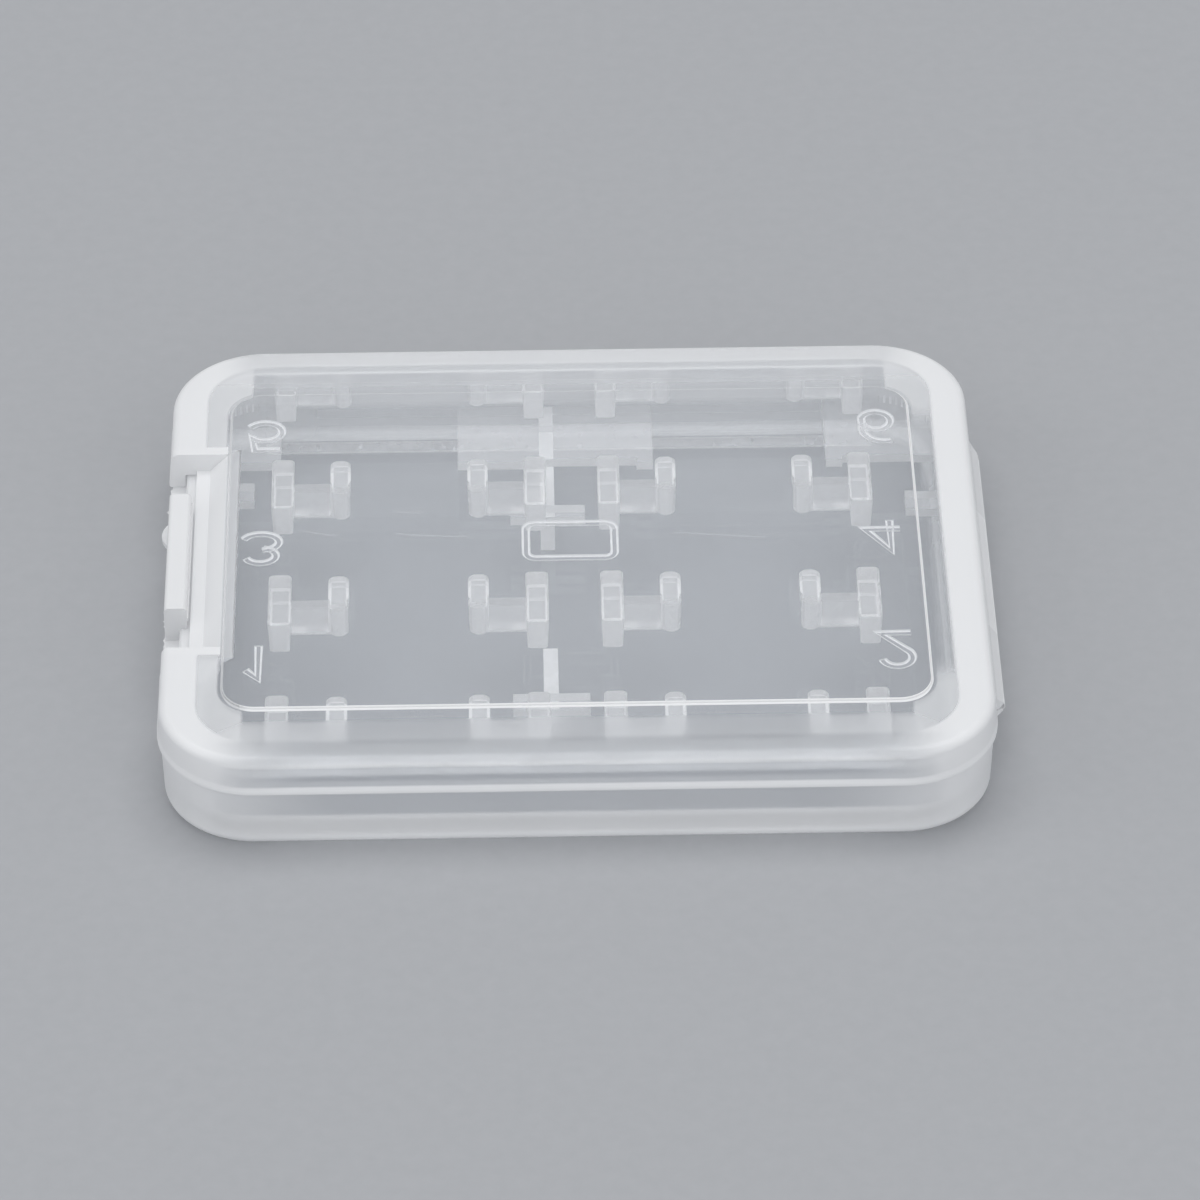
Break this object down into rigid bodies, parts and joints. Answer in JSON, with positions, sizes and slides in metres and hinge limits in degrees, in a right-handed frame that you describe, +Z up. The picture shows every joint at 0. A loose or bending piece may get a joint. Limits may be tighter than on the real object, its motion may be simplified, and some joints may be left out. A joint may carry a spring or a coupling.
{
  "type": "memory card case",
  "caption": "Flat clamshell case in clear moulded plastic with a film hinge, a snap latch in a thumb notch, and clips and slots for small and large memory cards.",
  "frame": {"origin": "middle of the flat base on which the closed case lies", "axes": "+Z up through the closed case, +X towards the hinge, -Y towards the front long side"},
  "size_m": [0.0552, 0.044, 0.0072],
  "materials": {
    "clear_plastic": "clear, glossy, slightly milky polypropylene",
    "frosted_plastic": "milky white polypropylene with a soft satin surface"
  },
  "bodies": {
    "lower_half": {"lower_shell": "clear_plastic", "latch_tongue": "frosted_plastic", "gate_tab": "clear_plastic", "back_stop": "clear_plastic", "front_stop": "clear_plastic", "back_divider": "clear_plastic", "front_divider": "clear_plastic", "hold_plate_left": "clear_plastic", "hold_plate_centre": "clear_plastic", "hold_plate_right": "clear_plastic", "side_tab_left": "clear_plastic", "side_tab_right": "clear_plastic", "centre_tab": "clear_plastic", "front_tab": "clear_plastic", "side_rib": "clear_plastic", "hinge_film": "frosted_plastic", "hinge_leaf_lower": "frosted_plastic"},
    "upper_half": {"upper_shell": "clear_plastic", "hinge_leaf_upper": "frosted_plastic", "clip_back_outer_left": "clear_plastic", "clip_back_inner_left": "clear_plastic", "clip_back_inner_right": "clear_plastic", "clip_back_outer_right": "clear_plastic", "clip_rear_outer_left": "clear_plastic", "clip_rear_inner_left": "clear_plastic", "clip_rear_inner_right": "clear_plastic", "clip_rear_outer_right": "clear_plastic", "clip_fore_outer_left": "clear_plastic", "clip_fore_inner_left": "clear_plastic", "clip_fore_inner_right": "clear_plastic", "clip_fore_outer_right": "clear_plastic", "clip_front_outer_left": "clear_plastic", "clip_front_inner_left": "clear_plastic", "clip_front_inner_right": "clear_plastic", "clip_front_outer_right": "clear_plastic"}
  },
  "joints": [
    {"name": "case_hinge", "type": "hinge", "parent": "lower_half", "child": "upper_half", "pos_m": [0.0276, 0, 0.00363], "axis": [0, 1, 0], "range_deg": [0, 180]}
  ]
}
